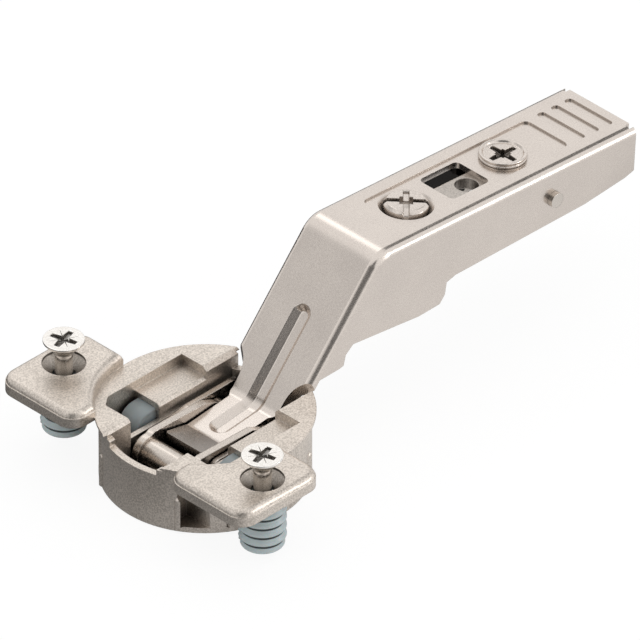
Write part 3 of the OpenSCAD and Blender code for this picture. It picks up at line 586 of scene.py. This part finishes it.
# %% Dowels
BARB_STEP = 1.72
BARB_OUT = 0.75
BORE_R = 1.56
SEAM_DEG = 68
WOVEN_DEG = 26
ROUND = 144
for side in ("left", "right"):
    node = "dowel_" + side
    low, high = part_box(node)
    length = (high.z - low.z) / MM
    full_r = (high.x - low.x) / MM / 2
    height = np.linspace(0, length, 240)[:, None]
    angle = np.linspace(0, 2 * np.pi, ROUND, endpoint=False)
    facing = np.degrees((angle + math.radians(SEAM_DEG)) % (2 * np.pi) - np.pi)
    woven = smooth_step(WOVEN_DEG - abs(facing), 0, 4)
    phase = (height / BARB_STEP + 0.5 * woven + 0.012 * facing * woven) % 1
    barb = smooth_step(phase, 0.05, 0.4) * (1 - 0.6 * smooth_step(phase, 0.45, 1.0))
    # painted shade on the steep undercut under each barb, which faces down away from the light
    shade = smooth_step(phase, 0.9, 1.0) + 1 - smooth_step(phase, 0.33, 0.45)
    tip = np.sqrt(np.clip(1 - ((1.9 - height).clip(0) / 2.1) ** 2, 0, 1))
    collar = smooth_step(height, length - 1.3, length - 1.1)
    radius = (full_r - BARB_OUT * (1 - barb) * (1 - collar)) * (0.45 + 0.55 * tip)
    shell = round_axis(radius, height, ROUND)
    bore = turn(np.array([(BORE_R, length), (BORE_R, 0)]), ROUND)
    closed_grid = np.concatenate([shell, bore, shell[:1]])
    shade = np.broadcast_to(shade * (1 - collar) * smooth_step(height, 0.3, 1.2), radius.shape)
    turned_piece(node + "_barbed", closed_grid, node,
                 ((low.x + high.x) / 2, (low.y + high.y) / 2, low.z),
                 pressed=np.concatenate([shade, np.zeros((2, ROUND)), shade[:1]]))
    print(node, "barbs:", int(length / BARB_STEP))

# %% [markdown]
# ## Damper blocks
# A block of plastic pokes out of a tunnel on each side and brakes the closing arm. Its
# front is one long round, so that the arm can slide over it, and its edges are eased.
# A thin rod joins it to the damper in the tunnel. It could be a cube with a bevel, but
# the round must start at the top and end in the nose. So one outline is drawn in the
# XZ plane and repeated along Y, and near both ends it shrinks towards its middle along
# a quarter circle. A first and last outline of size 0 close the ends.

# %% Damper blocks
BLOCK_EASE = 0.4
HALF_BLOCK = 3.5
FOOT_Z, ROOF_Z, ROD_Z = -9.6, -2.5, -6.0
REAR_X, NOSE_X = 1.5, -7.6
ROD_R, ROD_LENGTH = 0.8, 4.2
side_view = rounded([(-3, FOOT_Z), (REAR_X, FOOT_Z), (REAR_X, ROOF_Z), (NOSE_X + 1, ROOF_Z),
                     (NOSE_X, FOOT_Z), (-3.1, FOOT_Z)], 3.2, 16)
middle = np.array([-3.0, ROD_Z])
ease = np.linspace(0, np.pi / 2, 7)
steps_in = BLOCK_EASE * np.concatenate([[0], 1 - np.cos(ease)])
sizes = np.concatenate([[0], 1 - (1 - np.sin(ease)) * BLOCK_EASE / HALF_BLOCK])
size = np.concatenate([sizes, sizes[::-1]])[:, None, None]
around = middle + (side_view - middle) * size
for side in ("left", "right"):
    node = "damper_pusher_" + side
    low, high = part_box(node)
    y = np.concatenate([low.y / MM + steps_in, (high.y / MM - steps_in)[::-1]])
    grid = np.stack([around[..., 0], y[:, None] + 0 * around[..., 0], around[..., 1]], axis=-1)
    turned_piece(node + "_block", grid, node, (0, 0, 0))
    rod = turn(rounded([(0, 0), (ROD_R, 0), (ROD_R, ROD_LENGTH), (0, ROD_LENGTH)], 0.15), 32)
    rod_end = high.x - ROD_LENGTH * MM, (low.y + high.y) / 2, ROD_Z * MM
    turned_piece(node + "_rod", rod, node, rod_end, axis=(1, 0, 0))
    print(node, "grid", grid.shape[:2])

# %% [markdown]
# ## Adjusters on the arm
# The side screw sits in a dish and is slotted right across. The depth cam is a raised
# ring with a groove round its side and a cross in its dished face. Both lean with the
# web, so their axis is taken from the cam's joint. Their hubs and feet sit in holes of
# the sheet and the carriage, so they end where the CAD node ends.

# %% The web's axis
joints = {joint["name"]: joint for joint in frame["record"]["behaviour"]["joints"]}
web_up = Vector(joints["depth_cam_turn"]["axis"]).normalized()


def extent(node, axis):
    """Lowest and highest point of a node along an axis, and the middle of its box, in metres."""
    mesh = frame["nodes"][node].data
    places = np.empty(len(mesh.vertices) * 3)
    mesh.vertices.foreach_get("co", places)
    places = places.reshape(-1, 3)
    heights = places @ np.array(axis)
    across = places - np.outer(heights, axis)
    return heights.min(), heights.max(), (across.min(0) + across.max(0)) / 2


def upright(node, head_corners, hub_r, foot_r, foot_t):
    """Turned grid of a head, a hub and a foot under the sheet, and its origin.

    Heights are measured down from the node's top, and the foot ends at the node's foot."""
    foot, head, middle = extent(node, web_up)
    tall = (head - foot) / MM
    corners = head_corners + [(hub_r, head_corners[-1][1]), (hub_r, foot_t - tall),
                              (foot_r, foot_t - tall), (foot_r, -tall), (0, -tall)]
    print(node, round(tall, 2), "mm tall")
    return turn(profile(rounded(corners, 0.1), 0.06), 240), middle + np.array(web_up) * head


print("web leans", round(math.degrees(web_up.angle((0, 0, 1))), 1), "degrees")

# %% Depth cam
CAM_R = 3.95
DISH, GROOVE = 0.42, 0.14
ring = [(0, -DISH), (CAM_R - 0.75, -DISH), (CAM_R - 0.45, 0), (CAM_R - 0.1, 0),
        (CAM_R, -0.12), (CAM_R, -0.42), (CAM_R - GROOVE, -0.5), (CAM_R - GROOVE, -0.6),
        (CAM_R, -0.68), (CAM_R, -0.97)]
grid, origin = upright("depth_cam", ring, hub_r=2.45, foot_r=3.4, foot_t=0.29)
x, y = grid[..., 0], grid[..., 1]
face = (grid[..., 2] > -0.5) & (np.hypot(x, y) < CAM_R - 0.7)
square = smooth_step(1.0 - np.maximum(abs(x), abs(y)), 0, 0.12) * 1.2
cross = cross_depth(x, y, reach=2.75, width=1.1, depth=1.1)
pressed = face * np.maximum(cross, square)
grid[..., 2] -= pressed
# painted shade in the cross and the square: up to 0.65, reached at 0.39 mm of depth
turned_piece("depth_cam_turned", grid, "depth_cam", origin, web_up,
             np.clip(pressed / 0.6, 0, 0.65))

# %% Side screw
HEAD_S = 3.8
head = [(0, 0), (HEAD_S - 0.6, 0), (HEAD_S - 0.1, -0.55), (HEAD_S - 0.1, -1.8)]
grid, origin = upright("side_screw", head, hub_r=1.95, foot_r=3.0, foot_t=0.93)
x, y = turned_by(grid[..., 0], grid[..., 1], 45)
face = grid[..., 2] > -0.6
slots = [smooth_step(0.52 - abs(across), 0, 0.08) for across in (x, y)]
hole = smooth_step(1.1 - np.maximum(abs(x), abs(y)), 0, 0.1)
grid[..., 2] -= face * np.maximum(np.maximum(*slots) * 0.8, hole * 1.1)
# painted shade in one slot and a little in the square hole; the other slot is left bright, as the
# light falls into it
turned_piece("side_screw_turned", grid, "side_screw", origin, web_up,
             face * np.maximum(slots[0] * (1 - hole) * 0.75, hole * 0.2))

# %% [markdown]
# ## The room in the metal
# A catalogue picture of metal is mostly a picture of the room round it. A real studio has
# white walls, a dark camera side and gaps between its lamps. It could be a photographed
# panorama, but then the dark parts would lie where they happen to be. So the room is
# white, and three soft round patches take light out of what the metal mirrors: one
# behind the camera, one overhead and one on the left.

# %% World
world = bpy.data.worlds.new("studio")
bpy.context.scene.world = world
world.use_nodes = True
room = Finish(world.node_tree)
direction = room.add("ShaderNodeTexCoord", output="Generated")


def patch(towards, core_deg, fade_deg):
    """1 within core_deg of a direction, 0 beyond fade_deg, and a smooth step between."""
    cosine = dot(room, direction, Vector(towards).normalized())
    return ramp(room, cosine, math.cos(math.radians(fade_deg)), math.cos(math.radians(core_deg)))


camera_ray, glossy_ray, through_ray = ray_kinds(room, "Camera", "Glossy", "Transmission")
behind_camera = patch((-0.66, -0.62, 0.42), core_deg=23, fade_deg=36)
gap_overhead = patch((0.67, 0.08, 0.74), core_deg=8, fade_deg=17)
left_side = patch((-0.62, 0.70, 0.35), core_deg=14, fade_deg=32)
# each patch takes its share of the room's light, and DARKEST is always left
DARKEST, SOFT_LIGHT = 0.04, 0.8
mirrored = 1.0 - behind_camera * 0.82 - gap_overhead * 0.85 - left_side * 0.31
seen = camera_ray.at_least(through_ray)
other_rays = (1 - seen) * (1 - glossy_ray)
strength = seen + glossy_ray * mirrored.at_least(DARKEST) + other_rays * SOFT_LIGHT
background = room.add("ShaderNodeBackground", {}, {"Color": (1, 1, 1), "Strength": strength})
room.add("ShaderNodeOutputWorld", {}, {"Surface": background})
print("world is white, with three dark patches in reflections")

# %% [markdown]
# ## The floor
# The hinge lies on white paper with a pale shadow. Real paper would be lit unevenly and
# come out grey, so for the camera the paper mostly glows and takes only a part of the
# shadow. In the metal it is another thing again: the sides of arm and cup mirror the
# floor near them, and there it is dark on the left and behind, as under a lamp from the
# right. One floor shader can do both, because it can ask what kind of ray has hit it.

# %% Floor
FLOOR_REACH = 0.6
FLOOR_GAP_MM = 0.2
floor_z = cad_box[0].z - FLOOR_GAP_MM * MM
floor_mesh = bpy.data.meshes.new("floor")
ends = ((-1, -1), (1, -1), (1, 1), (-1, 1))
floor_mesh.from_pydata([(x * FLOOR_REACH, y * FLOOR_REACH, floor_z) for x, y in ends],
                       [], [(0, 1, 2, 3)])
floor = bpy.data.objects.new("floor", floor_mesh)
bpy.context.scene.collection.objects.link(floor)
print("floor at", round(floor_z / MM, 2), "mm")

# %% Paper
GLOW, PAPER_LIGHT = 0.84, 1.06
TO_RIGHT, AWAY = (0.707, -0.707, 0), (0.707, 0.707, 0)
floor_material, paper = new_finish("floor_paper")
matt = paper.add("ShaderNodeBsdfDiffuse", {}, {"Color": (0.9, 0.9, 0.9)})
lit = paper.add("ShaderNodeEmission", {}, {"Color": (1, 1, 1), "Strength": PAPER_LIGHT})
to_camera, to_gloss, to_glass = ray_kinds(paper, "Camera", "Glossy", "Transmission")
place = paper.add("ShaderNodeTexCoord", output="Object")
across = dot(paper, place, TO_RIGHT)
depth = dot(paper, place, AWAY)
lighter_side = ramp(paper, across, low=-32 * MM, high=45 * MM, first=0.19, last=0.80)
behind = ramp(paper, depth - across.at_least(0) * 0.5, low=5 * MM, high=30 * MM)
white = to_camera.at_least(to_glass) * GLOW + to_gloss
# what the metal mirrors is light by lighter_side, less 0.8 of that behind the hinge
mirrored_floor = to_gloss * (1 - lighter_side * (1 - behind * 0.8))
dark = paper.add("ShaderNodeEmission", {}, {"Color": (0, 0, 0), "Strength": 0.0})
blend = paper.add("ShaderNodeMixShader", {}, {0: white, 1: matt, 2: lit})
shaded = paper.add("ShaderNodeMixShader", {}, {0: mirrored_floor, 1: blend, 2: dark})
paper.add("ShaderNodeOutputMaterial", {}, {"Surface": shaded})
floor_mesh.materials.append(floor_material)
print("paper glows by", GLOW, "for the camera")

# %% [markdown]
# ## Lamps
# Two large soft boxes stand in for a studio's. The overhead one is a small part of the
# sky in the flat faces and casts the pale shadow. The one on the right brightens the
# walls of arm and cup that face it. Spot lamps would leave hard dots on the metal.


# %% Lamps
def soft_lamp(name, place_mm, aim_mm, size_mm, watts):
    """An area lamp of size_mm (wide, high) at place_mm that points at aim_mm."""
    lamp = bpy.data.lights.new(name, "AREA")
    lamp.shape, lamp.energy = "RECTANGLE", watts
    lamp.size, lamp.size_y = size_mm[0] * MM, size_mm[1] * MM
    holder = bpy.data.objects.new(name, lamp)
    place, aim = Vector(place_mm) * MM, Vector(aim_mm) * MM
    holder.location = place
    holder.rotation_mode = "QUATERNION"
    holder.rotation_quaternion = (aim - place).to_track_quat("-Z", "Y")
    bpy.context.scene.collection.objects.link(holder)


soft_lamp("overhead_lamp", place_mm=(185, 297, 397), aim_mm=(34, 5, 17),
          size_mm=(150, 80), watts=0.045)
soft_lamp("side_lamp", place_mm=(330, -420, 110), aim_mm=(30, 0, 0),
          size_mm=(160, 160), watts=0.35)

# %% [markdown]
# ## Camera
# The photograph has no perspective: edges that are parallel on the hinge are parallel in
# it, and all three axes are equally long. So the camera looks along the diagonal of a
# cube. An orthographic camera would do, and a very long lens from far away gives the
# same picture with an ordinary camera.

# %% Camera
IMAGE_PX, PX_PER_MM = 640, 6.26
camera_data = bpy.data.cameras.new("camera")
camera_data.lens = 1500
camera_data.sensor_width = 36
camera = bpy.data.objects.new("camera", camera_data)
bpy.context.scene.collection.objects.link(camera)
bpy.context.scene.camera = camera
azimuth, elevation = math.radians(-45), math.atan(1 / math.sqrt(2))
back = Vector((math.sin(azimuth) * math.cos(elevation),
               -math.cos(azimuth) * math.cos(elevation), math.sin(elevation)))
shown_width = IMAGE_PX / PX_PER_MM * MM
distance = shown_width * camera_data.lens / camera_data.sensor_width
target = Vector((18.89, -7.05, 11.84)) * MM
camera.location = target + back * distance
camera.rotation_mode = "QUATERNION"
camera.rotation_quaternion = (-back).to_track_quat("-Z", "Y")
camera_data.clip_start, camera_data.clip_end = distance * 0.5, distance * 2
print("camera distance", round(distance, 3), "m")

# %% [markdown]
# ## Colour view
# Standard keeps each colour as it is written, where a film-like view would grey it.

# %% Finish
bpy.context.scene.view_settings.view_transform = "Standard"
